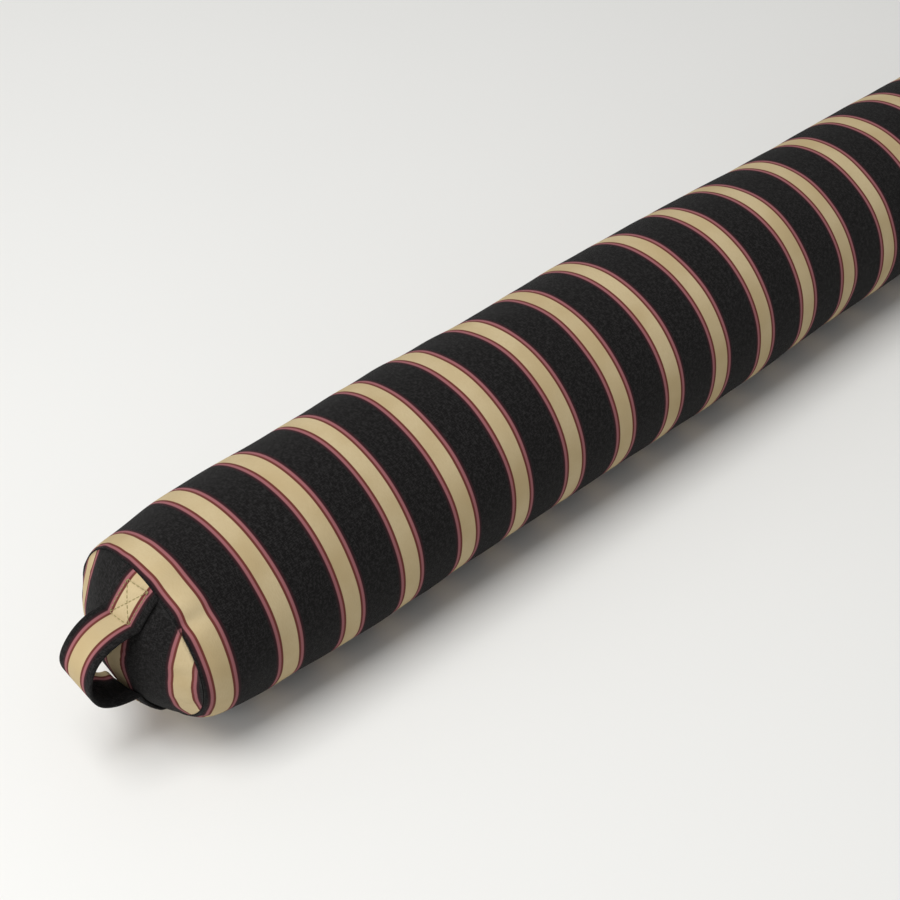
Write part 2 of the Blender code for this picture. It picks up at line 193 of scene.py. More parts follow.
def grid_faces(rows, columns):
    """Quads of a grid whose outer side is seen with its rows running clockwise from its columns."""
    corners = np.arange(rows * columns).reshape(rows, columns)
    quads = (corners[:-1, :-1], corners[:-1, 1:], corners[1:, 1:], corners[1:, :-1])
    return np.stack(quads, axis=-1).reshape(-1, 4)


def new_piece(name, points, faces, cloth=None):
    """A smooth mesh object. cloth gives its points' places on the flat cloth, across and along."""
    mesh = bpy.data.meshes.new(name)
    corners = np.asarray(points).reshape(-1, 3).tolist()
    mesh.from_pydata(corners, [], [list(map(int, face)) for face in faces])
    mesh.shade_smooth()
    if cloth is not None:
        place = mesh.attributes.new("cloth", "FLOAT_VECTOR", "POINT")
        place.data.foreach_set("vector", np.asarray(cloth, np.float32).ravel())
    piece = bpy.data.objects.new(name, mesh)
    bpy.context.scene.collection.objects.link(piece)
    return piece


def smooth(piece):
    subdivision = piece.modifiers.new("Smooth", "SUBSURF")
    subdivision.levels = subdivision.render_levels = 1


PRESS_FRAMES = 20


def stuff(piece, held, pressure, most):
    """Presses the stuffing outwards against the cloth, and lets no point move further than most."""
    mesh = piece.data
    before = np.zeros(len(mesh.vertices) * 3)
    mesh.vertices.foreach_get("co", before)
    sewn = piece.vertex_groups.new(name="sewn")
    sewn.add([int(number) for number in held], 1.0, "REPLACE")
    press = piece.modifiers.new("Stuffing", "CLOTH")
    press.settings.vertex_group_mass = "sewn"
    press.settings.use_pressure = True
    press.settings.uniform_pressure_force = pressure
    press.settings.effector_weights.gravity = 0
    press.point_cache.frame_end = PRESS_FRAMES
    for number in range(1, PRESS_FRAMES + 1):
        bpy.context.scene.frame_set(number)
    pressed = piece.evaluated_get(bpy.context.evaluated_depsgraph_get())
    after = np.zeros(len(mesh.vertices) * 3)
    pressed.data.vertices.foreach_get("co", after)
    piece.modifiers.remove(press)
    bpy.context.scene.frame_set(1)
    move = (after - before).reshape(-1, 3)
    length = np.maximum(np.linalg.norm(move, axis=1, keepdims=True), 1e-9)
    move *= np.minimum(1, most / length)
    mesh.vertices.foreach_set("co", before + move.ravel())


SOFT_TURN = 0.0015  # height of the rounded turn into the flat underside


def rest_on_floor(piece):
    """Presses the underside flat on the floor."""
    for vertex in piece.data.vertices:
        if vertex.co.z < SOFT_TURN:
            vertex.co.z = SOFT_TURN * 0.25 * (1 + max(-1.0, vertex.co.z / SOFT_TURN)) ** 2


unevenness = waves(3, 14, 0.34, 0.10, (1, 4))
ripples = waves(8, 18, 0.060, 0.030, (3, 11))
seam_puckers = waves(5, 16, 0.30, 0.20, (13, 34))

insets = np.array(SEAM_INSETS)
full = np.arange(1, ceil((CREASE - insets[-1]) / FULL_STEP)) * FULL_STEP + insets[-1]
near_half = -CREASE + np.concatenate([insets, full[full < CREASE - 0.4 * FULL_STEP]])
tube_x = np.concatenate([near_half, [0.0], -near_half[::-1]])
slot_ring = np.abs(tube_x - SLOT_HALF_LENGTH).argmin()
tube_x[slot_ring] = SLOT_HALF_LENGTH
tube_x[len(tube_x) - 1 - slot_ring] = -SLOT_HALF_LENGTH
tube_turn = np.arange(COLUMNS + 1) / COLUMNS * 2 * pi
grid_x, grid_turn = np.meshgrid(tube_x, tube_turn, indexing="ij")
grid_angle = grid_turn + ZIP_ANGLE
from_seam = CREASE - np.abs(grid_x)
radius = cover_radius(grid_x)
height, reach = LUMPS
radius += height * unevenness(grid_x, grid_angle) * (1 - np.exp(-from_seam / reach))
height, reach = RIPPLES
radius += height * ripples(grid_x, grid_angle) * (1 - np.exp(-from_seam / reach))
height, reach = GATHERS
gathers = seam_puckers(grid_x, grid_angle) * np.exp(-from_seam / reach)
radius += height * gathers * (from_seam > 0)
for middle, width, depth, length in PUCKERS:
    away = (grid_angle - radians(middle) + pi) % (2 * pi) - pi
    fold = np.exp(-from_seam / length) - PUCKER_SPARES * np.exp(-from_seam / PUCKER_START)
    radius -= depth * hump(away, 0, radians(width)) * fold * (grid_x < 0)
tube_points = np.stack([grid_x, radius * np.cos(grid_angle), radius * np.sin(grid_angle)], -1)

# The stripes keep their width along the cloth, so they are counted along the rounded shoulder.
# The cloth was cut a little off its grain, which tilts them, and it is gathered in the far half.
fine_x = np.linspace(-CREASE, CREASE, 18001)
slope = np.gradient(cover_radius(fine_x), fine_x)
fine_steps = np.hypot(1, (slope[1:] + slope[:-1]) / 2) * np.diff(fine_x)
cloth_run = np.concatenate([[0], np.cumsum(fine_steps)])
cloth_run -= np.interp(FIRST_STRIPE - HALF, fine_x, cloth_run)
across_stripes = np.interp(grid_x, fine_x, cloth_run)
tilt = STRIPE_TILT * np.cos(grid_angle - radians(TILT_TURN))
across_stripes += tilt * (1 - TILT_LOST * np.exp(-from_seam / TILT_REACH))
across_stripes += GATHER * ease(grid_x, *GATHERED)
tube_cloth = np.stack([across_stripes, COVER_RADIUS * grid_turn, 0 * grid_x], -1)

# The stuffing presses the cloth out while the tube is closed all round.
tube_points[..., 2] += AXIS_HEIGHT
tube_points = drawn_in(tube_points)
closed = tube_points[:, :-1]
rings, turns = closed.shape[:2]
numbers = np.arange(rings * turns).reshape(rings, turns)
beside = np.roll(numbers, -1, axis=1)
closed_faces = np.stack([numbers[:-1], beside[:-1], beside[1:], numbers[1:]], -1).reshape(-1, 4)
bag = new_piece("bag", closed, closed_faces)
stuff(bag, np.concatenate([numbers[:2].ravel(), numbers[-2:].ravel()]), pressure=4.0, most=0.004)
pressed_points = np.zeros(rings * turns * 3)
bag.data.vertices.foreach_get("co", pressed_points)
pressed_points = pressed_points.reshape(rings, turns, 3)
bpy.data.objects.remove(bag)
tube_points = np.concatenate([pressed_points, pressed_points[:, :1]], axis=1)

# The lengthwise seam is a shallow valley, and the zip's topstitching draws the cloth in. Beside
# the slot, each column of points is drawn to a radius by a share.
SLOT_COLUMNS = ((1, 0.0593, 1.0), (2, 0.0602, 1.0), (3, 0.0608, 0.7), (4, 0.0611, 0.35))
SLOT_VALLEY = 0.0003
SEAM_VALLEY = 0.0009  # the lengthwise seam is deeper by this than the slot
outward = tube_points - [0, 0, AXIS_HEIGHT]
outward[..., 0] = 0
outward /= np.linalg.norm(outward, axis=2, keepdims=True)
beyond_slot = np.clip((np.abs(tube_x) - SLOT_HALF_LENGTH) / 0.02, 0, 1)
valley = SEAM_VALLEY * beyond_slot + SLOT_VALLEY
tube_points[:, [0, -1]] -= valley[:, None, None] * outward[:, [0, -1]]
sewn_rows = np.abs(tube_x) < SLOT_HALF_LENGTH + 0.006
for column, target, share in SLOT_COLUMNS:
    for place in (column, COLUMNS - column):
        ring = tube_points[sewn_rows, place] - [0, 0, AXIS_HEIGHT]
        size = np.hypot(ring[:, 1], ring[:, 2])[:, None]
        tube_points[sewn_rows, place] += share * (target - size) * outward[sewn_rows, place]

# The end of the tube is turned in at the end seam: inset, depth and length of cloth.
HEM = ((0.0004, 0.0008, 0.0009), (0.0035, 0.0012, 0.0038))
hems = []
for end, side in ((0, -1), (-1, 1)):
    for inset, depth, _ in HEM:
        ring = tube_points[end] - depth * outward[end]
        ring[:, 0] = side * (CREASE - inset)
        hems.append(ring)
tube_points = np.concatenate([[hems[1], hems[0]], tube_points, [hems[2], hems[3]]])
near_cloth = [tube_cloth[0] - [length, 0, 0] for _, _, length in reversed(HEM)]
far_cloth = [tube_cloth[-1] + [length, 0, 0] for _, _, length in HEM]
tube_cloth = np.concatenate([near_cloth, tube_cloth, far_cloth])
row_x = np.concatenate([[-CREASE, -CREASE], tube_x, [CREASE, CREASE]])

tube_faces = grid_faces(*tube_points.shape[:2])
columns = tube_points.shape[1]
face_row = tube_faces[:, 0] // columns
face_column = tube_faces[:, 0] % columns
in_slot = (face_column == 0) | (face_column == columns - 2)
middle_x = (row_x[face_row] + row_x[face_row + 1]) / 2
tube_faces = tube_faces[~(in_slot & (np.abs(middle_x) < SLOT_HALF_LENGTH))]
cover = new_piece("cover_ticking", tube_points, tube_faces, tube_cloth)
rest_on_floor(cover)
smooth(cover)
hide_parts("cover_body")
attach(cover, "cushion")


class Strand:
    """One socket of a material, so that shader maths is written as a formula."""

    def __init__(self, finish, socket):
        self.finish = finish
        self.socket = socket

    def math(self, operation, *others):
        inputs = dict(enumerate((self, *others)))
        return self.finish.node("ShaderNodeMath", {"operation": operation}, inputs)

    def __add__(self, other):
        return self.math("ADD", other)

    def __sub__(self, other):
        return self.math("SUBTRACT", other)

    def __rsub__(self, other):
        return (self * -1) + other

    def __mul__(self, other):
        return self.math("MULTIPLY", other)

    def __truediv__(self, other):
        return self.math("DIVIDE", other)

    __radd__ = __add__
    __rmul__ = __mul__

    def step(self, low, high):
        """0 where this is low, 1 where it is high, and smooth between."""
        limits = {"Value": self, "From Min": low, "From Max": high}
        return self.finish.node("ShaderNodeMapRange", {"interpolation_type": "SMOOTHSTEP"}, limits)


class Finish:
    """A material whose nodes feed its Principled shader."""

    def __init__(self, name, **fixed):
        self.material = bpy.data.materials.new(name)
        self.material.use_nodes = True
        self.tree = self.material.node_tree
        self.shader = self.tree.nodes["Principled BSDF"]
        for socket, value in fixed.items():
            self.shader.inputs[socket.replace("_", " ")].default_value = value

    def node(self, kind, settings, inputs, output=0):
        made = self.tree.nodes.new(kind)
        for key, value in settings.items():
            setattr(made, key, value)
        for key, value in inputs.items():
            self.feed(made.inputs[key], value)
        return Strand(self, made.outputs[output])

    def feed(self, socket, value):
        if isinstance(value, Strand):
            self.tree.links.new(value.socket, socket)
        else:
            socket.default_value = value

    def mix(self, factor, first, second):
        inputs = {0: factor, 6: first, 7: second}
        return self.node("ShaderNodeMix", {"data_type": "RGBA"}, inputs, 2)

    def cloth_place(self):
        """How far across the stripes and along them, in metres of flat cloth."""
        settings = {"attribute_type": "GEOMETRY", "attribute_name": "cloth"}
        place = self.node("ShaderNodeAttribute", settings, {}, "Vector")
        return [self.node("ShaderNodeSeparateXYZ", {}, {0: place}, axis) for axis in "XY"]

    def point(self, x, y, z=0.0):
        return self.node("ShaderNodeCombineXYZ", {}, {0: x, 1: y, 2: z})

    def noise(self, vector, scale, detail):
        inputs = {"Vector": vector, "Scale": scale, "Detail": detail}
        return self.node("ShaderNodeTexNoise", {}, inputs)

    def bump(self, height, depth, strength):
        inputs = {"Height": height, "Distance": depth, "Strength": strength}
        self.feed(self.shader.inputs["Normal"], self.node("ShaderNodeBump", {}, inputs))

    def colour(self, value):
        self.feed(self.shader.inputs["Base Color"], value)

    def roughness(self, value):
        self.feed(self.shader.inputs["Roughness"], value)

    def on(self, *pieces):
        for piece in pieces:
            piece.data.materials.clear()
            piece.data.materials.append(self.material)


def shade(red, green, blue):
    """A dye's colour, given as it is seen on a swatch card, from 0 to 255."""
    return (*(((value / 255 + 0.055) / 1.055) ** 2.4 for value in (red, green, blue)), 1)


CREAM = shade(197, 179, 142)
CREAM_SHADOW = shade(184, 163, 123)
BURGUNDY = shade(104, 52, 46)
ROSE = shade(150, 94, 98)
MAROON = shade(50, 27, 31)
CHARCOAL = shade(17, 16, 16)
MARL = shade(41, 40, 40)
CREAM_EDGE = 0.0051
ROSE_EDGE = 0.0065
MAROON_EDGE = 0.0082
CHARCOAL_EDGE = 0.0103
YARN = 0.0006

ticking = Finish("ticking", Sheen_Weight=0.03, Sheen_Roughness=0.5, Specular_IOR_Level=0.10)
across, along = ticking.cloth_place()
drift = ticking.noise(ticking.point(across * 9, along * 22), 1.0, 1.0) - 0.5
wander = across + drift * 0.0007
from_band = ((wander / STRIPE_REPEAT + 0.5).math("FRACT") - 0.5).math("ABSOLUTE") * STRIPE_REPEAT
warp_streak = ticking.noise(ticking.point(across / YARN, along * 420), 1.0, 1.0)
weft_streak = ticking.noise(ticking.point(across * 420, along / YARN, 7.0), 1.0, 1.0)
warp_yarn = (across * (2 * pi / YARN)).math("SINE")
weft_yarn = (along * (2 * pi / YARN)).math("SINE")
slub = ticking.noise(ticking.point(across * 500, along * 240, 3.0), 1.0, 3.0)
blotch = ticking.noise(ticking.point(across * 28, along * 28, 5.0), 1.0, 2.0)

cream = ticking.mix(blotch.step(0.3, 0.75), CREAM, CREAM_SHADOW)
cream = ticking.mix(warp_streak.step(0.35, 0.8) * 0.35, cream, CREAM_SHADOW)
flecks = (warp_streak * 0.5 + weft_streak * 0.5 + slub * 0.35).step(0.58, 0.86)
charcoal = ticking.mix(flecks, CHARCOAL, MARL)
colour = ticking.mix(from_band.step(CREAM_EDGE - 0.0002, CREAM_EDGE + 0.0002), cream, BURGUNDY)
colour = ticking.mix(from_band.step(ROSE_EDGE - 0.0003, ROSE_EDGE + 0.0003), colour, ROSE)
colour = ticking.mix(from_band.step(MAROON_EDGE - 0.0004, MAROON_EDGE + 0.0004), colour, MAROON)
colour = ticking.mix(from_band.step(MAROON_EDGE + 0.0006, CHARCOAL_EDGE), colour, charcoal)
ticking.colour(colour)
ticking.roughness(0.84 + warp_streak * 0.12)
weave = warp_yarn * weft_yarn * 0.5 + warp_streak * 0.9 + weft_streak * 0.7 + slub * 0.8
ticking.bump(weave, 0.00022, 0.55)
ticking.on(cover)


# ---------------------------------------------------------------------------------------------
# The end panels: two rounds of the same ticking, sewn in with a turned seam and puffed out by
# the stuffing. Their stripes stand upright. Rings of dark thread lie inside the two seams, and
# the same thread closes the back seam on both sides of the zip.

PANEL_RADIUS = MOUTH_RADIUS - 0.0007
PANEL_BULGE = 0.021
PANEL_CELLS = COLUMNS // 4
PANEL_STRIPE = -0.0054  # a cream band's middle, from the middle of the panel
PANEL_GATHERS = 0.0010
PANEL_GATHERS_REACH = 0.015
PANEL_LUMPS = 0.0006
RIM_SHARE = 0.999
PANEL_HEM = (0.0035, 0.0005)  # how far its edge is turned in, and how much narrower it is there


def panel_points(side):
    """Points of a round panel on a square grid that is bent into the round."""
    steps = np.linspace(-1, 1, PANEL_CELLS + 1)
    u, v = np.meshgrid(steps, steps, indexing="ij")
    flat = np.abs(u) >= np.abs(v)
    reach = np.where(flat, u, v)
    lesser = np.where(flat, v, u)
    quarter = pi / 4 * lesser / np.where(reach == 0, 1, reach)
    angle = np.where(flat, quarter, pi / 2 - quarter)
    y = reach * np.cos(angle)
    z = reach * np.sin(angle)
    share = np.hypot(y, z)
    turn = np.arctan2(z, y)
    bulge = PANEL_BULGE * (1 - share**2)
    edge = np.exp(-(1 - share) * PANEL_RADIUS / PANEL_GATHERS_REACH) * (share < RIM_SHARE)
    bulge = bulge + PANEL_GATHERS * edge * seam_puckers(0 * turn + side * 0.7, turn)
    lumps = PANEL_LUMPS * unevenness(3 * y * PANEL_RADIUS, 3 * z + side)
    bulge = bulge + lumps * (1 - share**4)
    x = side * (CREASE + bulge)
    points = np.stack([x, y * PANEL_RADIUS, AXIS_HEIGHT + z * PANEL_RADIUS], -1)
    return drawn_in(points), share > RIM_SHARE


def along_dome(distance):
    """Length of cloth from the middle of a panel to this distance from it."""
    slope = 2 * PANEL_BULGE / PANEL_RADIUS**2 * distance
    return distance * (1 + slope**2 / 6 - slope**4 / 40)


def end_panel(name, side, node):
    """A whole end panel, with its edge turned in at the seam."""
    points, rim = panel_points(side)
    faces = grid_faces(*points.shape[:2])
    if side > 0:
        faces = faces[:, ::-1]
    flat_points = points.reshape(-1, 3)
    rim_numbers = np.flatnonzero(rim.ravel())
    turn = np.arctan2(flat_points[rim_numbers, 2] - AXIS_HEIGHT, flat_points[rim_numbers, 1])
    rim_numbers = rim_numbers[np.argsort(turn)]
    depth, narrower = PANEL_HEM
    inner = flat_points[rim_numbers].copy()
    inner[:, 0] = side * (CREASE - depth)
    inner[:, 1] *= 1 - narrower / PANEL_RADIUS
    inner[:, 2] = AXIS_HEIGHT + (inner[:, 2] - AXIS_HEIGHT) * (1 - narrower / PANEL_RADIUS)
    count = len(rim_numbers)
    hem = np.arange(count) + len(flat_points)
    edge = np.stack([rim_numbers, np.roll(rim_numbers, -1), np.roll(hem, -1), hem], -1)
    if side < 0:
        edge = edge[:, ::-1]
    all_points = np.concatenate([flat_points, inner])
    flat_y = along_dome(all_points[:, 1])
    flat_z = along_dome(all_points[:, 2] - AXIS_HEIGHT)
    flat_cloth = np.stack([flat_y - PANEL_STRIPE, flat_z, 0 * flat_y], -1)
    panel = new_piece(name, all_points, np.concatenate([faces, edge]), flat_cloth)
    stuff(panel, np.concatenate([rim_numbers, hem]), pressure=2.0, most=0.003)
    rest_on_floor(panel)
    smooth(panel)
    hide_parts(node)
    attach(panel, "cushion")
    ticking.on(panel)


end_panel("near_end_round", -1, "near_end_panel")
end_panel("far_end_round", 1, "far_end_panel")

SEAM_RADIUS = PANEL_RADIUS - 0.0016
SEAM_INSET = 0.002
BACK_SEAM_DEPTH = 0.0004
BACK_SEAM_START = SLOT_HALF_LENGTH + 0.008
BACK_SEAM_END = CREASE - 0.003


def seam_line(side):
    """The ring of sewing inside an end seam, as (point, outward) places."""
    turns = np.linspace(0, 2 * pi, 161)
    ring = SEAM_RADIUS * np.stack([0 * turns, np.cos(turns), np.sin(turns)], -1)
    places = drawn_in(ring + [side * (CREASE - SEAM_INSET), 0, AXIS_HEIGHT]).tolist()
    return [(Vector(place), Vector(out).normalized()) for place, out in zip(places, ring.tolist())]


def stitch_row(line, length, gap, thickness):
    """Points and faces of a row of stitches on a line of (point, outward) places."""
    sides = rings = 6
    spots = [Vector(point) for point, _ in line]
    reach = np.cumsum([0] + [(b - a).length for a, b in zip(spots, spots[1:])])
    count = max(1, round(reach[-1] / (length + gap)))
    pitch = reach[-1] / count
    stitch = pitch * length / (length + gap)
    spot_table = np.array(spots)
    out_table = np.array([Vector(out) for _, out in line])

    def between(at, table):
        return Vector([float(np.interp(at, reach, table[:, axis])) for axis in range(3)])

    points, faces = [], []
    for number in range(count):
        begin = number * pitch + (pitch - stitch) / 2
        for ring in range(rings):
            share = ring / (rings - 1)
            at = begin + stitch * share
            spot = between(at, spot_table)
            out = between(at, out_table).normalized()
            forward = (between(at + 1e-4, spot_table) - between(at - 1e-4, spot_table)).normalized()
            beside = forward.cross(out).normalized()
            thin = thickness * (0.45 + 0.55 * sin(pi * share) ** 0.5)
            middle = spot + out * thickness * (0.9 * sin(pi * share) ** 0.6 - 0.75)
            for side in range(sides):
                turn = 2 * pi * side / sides
                points.append(middle + thin * (cos(turn) * beside + sin(turn) * out))
        first = number * rings * sides
        for ring in range(rings - 1):
            for side in range(sides):
                near, far = side, (side + 1) % sides
                lower = first + ring * sides
                faces.append((lower + near, lower + far, lower + sides + far, lower + sides + near))
        faces.append([first + side for side in reversed(range(sides))])
        faces.append([first + (rings - 1) * sides + side for side in range(sides)])
    return points, faces


def sew(name, rows, node, body, slot, **sizes):
    """One piece of all the stitches of several rows."""
    points, faces = [], []
    for row in rows:
        row_points, row_faces = stitch_row(row, **sizes)
        faces += [[corner + len(points) for corner in face] for face in row_faces]
        points += row_points
    stitches = new_piece(name, np.array(points), faces)
    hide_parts(node)
    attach(stitches, body)
    return stitches


dark_thread = Finish("dark_thread", Sheen_Weight=0.1, Specular_IOR_Level=0.4)
position = dark_thread.node("ShaderNodeTexCoord", {}, {}, "Object")
ply = dark_thread.noise(position, 2600.0, 1.0)
dark_thread.colour(dark_thread.mix(ply.step(0.35, 0.7), shade(22, 21, 22), shade(52, 50, 50)))
dark_thread.roughness(0.5 + ply * 0.3)
dark_thread.bump(ply, 0.0001, 0.6)

seam_sizes = {"length": 0.0026, "gap": 0.0006, "thickness": 0.0003}
for end, side in (("near", -1), ("far", 1)):
    node = f"{end}_end_seam_stitch"
    ring = sew(f"{end}_seam_stitches", [seam_line(side)], node, "cushion", "dark_thread", **seam_sizes)
    closed = (side * row_x > BACK_SEAM_START) & (side * row_x < BACK_SEAM_END)
    spots = [Vector(spot) for spot in tube_points[closed, 0].tolist()]
    seam = [(spot - BACK_SEAM_DEPTH * OUT, OUT) for spot in spots]
    node = f"back_seam_{end}_stitch"
    thread = sew(f"back_seam_{end}_stitches", [seam], node, "cushion", "dark_thread", **seam_sizes)
    dark_thread.on(ring, thread)


# ---------------------------------------------------------------------------------------------
# The carrying strap: a strip of ticking folded in four, so that a cream band runs along the
# middle of its outer face. Its two ends are sewn flat on the near panel, and the span between
# them stands out as a loop for two fingers. One edge is a fold, the other shows two folds.

STRAP_WIDTH = 0.027
STRAP_CLOTH = 0.0020
STRAP_SIDE = -0.0066
STRAP_LEAN = 0.175  # the upper tab was sewn on a little askew
LOOP_TOP = 0.0288  # heights of the loop's two roots, from the tube's axis
LOOP_BOTTOM = -0.0165
LOOP_REACH = 0.0275
LOOP_ROUND = 0.8
ROOT_SHARE = 0.3  # the part of the loop's run that takes on the slant of a root
LOOP_TWIST = 0.0052  # the far edge of the loop's lower half hangs this much higher
TWIST_STARTS = (0.3, 0.7)
TWIST_ENDS = (0.88, 1)
TAB_END = 0.048  # about the height at which an end of the strap meets the end seam
TAB_INSET = 0.0004
PAST_SEAM = 1.05  # the strap's ends run this far into the seam, as a share of their length
SEAM_DIP = 0.0016  # how far they go down into it
DIP_START = 0.86
DIP_LENGTH = 0.19
LAY_GAP = 0.0003
BOX_HEIGHT = 0.0175
BOX_MARGIN = 0.0066
BOX_END_MARGIN = 0.0012
STITCH_DENT = 0.00045
DENT_WIDTH = 0.0011
STITCH_SINK = 0.0002


def on_panel(height, side, lift):
    """A point this far out from the near panel, at a height and side counted from the tube's axis."""
    lean = 2 * PANEL_BULGE / PANEL_RADIUS**2
    out = Vector((-1, lean * side, lean * height)).normalized()
    bulge = PANEL_BULGE * (1 - (hypot(height, side) / PANEL_RADIUS) ** 2)
    foot = drawn_in((-CREASE - bulge, side, AXIS_HEIGHT + height))
    return Vector(foot.tolist()) + out * float(lift)


def box_lines(low, high):
    """The lines of a stitched box with a cross in it, as pairs of (height, across)."""
    half = STRAP_WIDTH / 2 - BOX_MARGIN
    a, b, c, d = (low, -half), (low, half), (high, half), (high, -half)
    return [(a, b), (b, c), (c, d), (d, a), (a, c), (b, d)]


def strap_side(height, across):
    """How far to the side a point across the strap lies, on the panel at this height."""
    return STRAP_SIDE + across - STRAP_LEAN * max(0.0, height - LOOP_TOP)


upper_box = box_lines(LOOP_TOP + BOX_END_MARGIN, LOOP_TOP + BOX_END_MARGIN + BOX_HEIGHT)
lower_box = box_lines(LOOP_BOTTOM - BOX_END_MARGIN - BOX_HEIGHT, LOOP_BOTTOM - BOX_END_MARGIN)


def stitch_dent(height, across):
    """How far the stitches draw the strap in at this place."""
    nearest = 1.0
    for start, end in upper_box + lower_box:
        run = Vector(end) - Vector(start)
        away = Vector((height, across)) - Vector(start)
        share = min(1.0, max(0.0, away.dot(run) / run.length_squared))
        nearest = min(nearest, (away - share * run).length)
    return STITCH_DENT * exp(-((nearest / DENT_WIDTH) ** 2))


def strap_section():
    """The folded strap cut across: (across, out from its middle layer, place on the flat cloth)."""
    half = STRAP_WIDTH / 2
    thick = STRAP_CLOTH / 2
    open_fold = [(-0.0010, 0.04), (-0.0003, 0.14), (0.0, 0.45), (-0.0002, 0.82), (-0.0008, 1.0)]
    outer = [(half + a, thick * w, half + 0.0014 - 0.0003 * n) for n, (a, w) in enumerate(open_fold)]
    steps = np.linspace(half - 0.0016, 0.0016 - half, 21).tolist()
    outer += [(v, thick * (1 + 0.10 * (1 - (v / half) ** 4)), v) for v in steps]
    fold = [(-half + 0.0007, 0.93), (-half + 0.0001, 0.6), (-half - 0.0001, 0.0)]
    outer += [(v, thick * w, v - 0.0004 * (1 - w)) for v, w in fold]
    inner = [(v, -w, -half - 0.0008 - (v + half)) for v, w, _ in reversed(outer[:-1])]
    return outer + inner


def strap_path():
    """How each row of points is placed, from the top seam round to the lower seam."""
    rows = [("upper", share) for share in [PAST_SEAM, *np.linspace(1, 0.03, 17).tolist()]]
    loop_shares = (1 - np.cos(np.linspace(0.10, pi - 0.10, 46))) / 2
    rows += [("loop", share) for share in loop_shares.tolist()]
    return rows + [("lower", share) for share in [*np.linspace(0.03, 1, 22).tolist(), PAST_SEAM]]


LIFT = LAY_GAP + STRAP_CLOTH / 2
root_top = on_panel(LOOP_TOP, STRAP_SIDE, LIFT)
root_low = on_panel(LOOP_BOTTOM, STRAP_SIDE, LIFT)
root_line = (root_top - root_low).normalized()
root_middle = (root_top + root_low) / 2
half_height = (root_top - root_low).length / 2
loop_out = Vector((-root_line.z, 0, root_line.x))


def loop_middle(share):
    """The middle line of the loop, from the upper root at 0 to the lower one at 1."""
    angle = (share - 0.5) * pi
    out = LOOP_REACH * max(0.0, cos(angle)) ** LOOP_ROUND
    return root_middle + loop_out * out - root_line * half_height * sin(angle)


def tab_place(root, sign, where, across, lift):
    """A point of a sewn end, from the loop's root at 0 to the end seam at 1."""
    seam_side = strap_side(TAB_END * sign, across)
    seam_height = sign * sqrt((PANEL_RADIUS - TAB_INSET) ** 2 - seam_side**2)
    height = root + (seam_height - root) * where
    raised = LIFT + lift - (stitch_dent(height, across) if lift > 0 else 0)
    raised -= SEAM_DIP * max(0.0, (where - DIP_START) / DIP_LENGTH)
    return on_panel(height, strap_side(height, across), raised)


def strap_place(kind, where, across, lift):
    """A point of the strap, this far across it and out from its middle layer."""
    if kind == "upper":
        return tab_place(LOOP_TOP, 1, where, across, lift)
    if kind == "lower":
        return tab_place(LOOP_BOTTOM, -1, where, across, lift)
    middle = loop_middle(where)
    ahead = loop_middle(min(1.0, where + 0.004)) - loop_middle(max(0.0, where - 0.004))
    out = Vector((ahead.z, 0, -ahead.x)).normalized()
    sideways = Vector((0, across, 0))
    bent = Vector()
    for root, height, along_loop in ((root_top, LOOP_TOP, where), (root_low, LOOP_BOTTOM, 1 - where)):
        near = 1 - along_loop / ROOT_SHARE
        if near > 0:
            fade = near * near * (3 - 2 * near)
            bent += fade * (on_panel(height, STRAP_SIDE + across, LIFT) - root - sideways)
    turned = float(ease(where, *TWIST_STARTS) * (1 - ease(where, *TWIST_ENDS)))
    twist = LOOP_TWIST * (across / STRAP_WIDTH + 0.5) * turned
    return middle + sideways + bent + twist * root_line + lift * out


section = strap_section()
path = strap_path()
strap_points = [[strap_place(kind, where, v, w) for v, w, _ in section] for kind, where in path]
middle_line = [strap_place(kind, where, 0, 0) for kind, where in path]
run = np.cumsum([0] + [(b - a).length for a, b in zip(middle_line, middle_line[1:])])
strap_cloth = [[(place, length, 0) for _, _, place in section] for length in run]
strap = new_piece(
    "carrying_strap", np.array(strap_points), grid_faces(len(path), len(section)), strap_cloth
)
smooth(strap)
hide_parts("carry_loop", "loop_upper_tab", "loop_lower_tab")
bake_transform(strap)
ticking.on(strap)


def box_rows(lines):
    """The box's lines, laid on the strap's outer face."""
    rows = []
    for start, end in lines:
        spots = []
        for share in np.linspace(0, 1, 13).tolist():
            height = start[0] + (end[0] - start[0]) * share
            side = strap_side(height, start[1] + (end[1] - start[1]) * share)
            lift = LAY_GAP + STRAP_CLOTH * 1.05 - STITCH_SINK
            foot = on_panel(height, side, lift)
            spots.append((foot, on_panel(height, side, lift + 0.001) - foot))
        rows.append(spots)
    return rows


olive_thread = Finish("olive_thread", Sheen_Weight=0.1, Specular_IOR_Level=0.4)
position = olive_thread.node("ShaderNodeTexCoord", {}, {}, "Object")
ply = olive_thread.noise(position, 2600.0, 1.0)
olive_thread.colour(olive_thread.mix(ply.step(0.35, 0.7), shade(132, 122, 76), shade(168, 156, 108)))
olive_thread.roughness(0.45 + ply * 0.3)
olive_thread.bump(ply, 0.0001, 0.6)

box_sizes = {"length": 0.0022, "gap": 0.0005, "thickness": 0.00026}
for end, lines in (("upper", upper_box), ("lower", lower_box)):
    node = f"{end}_box_stitch"
    stitches = sew(f"{end}_box_stitches", box_rows(lines), node, "cushion", "olive_thread", **box_sizes)
    olive_thread.on(stitches)


# ---------------------------------------------------------------------------------------------
# The zip: two woven tapes sewn inside the slot of the cover, each with a spiral of black nylon
# along its edge. The two spirals lock into each other. A stop closes each end.

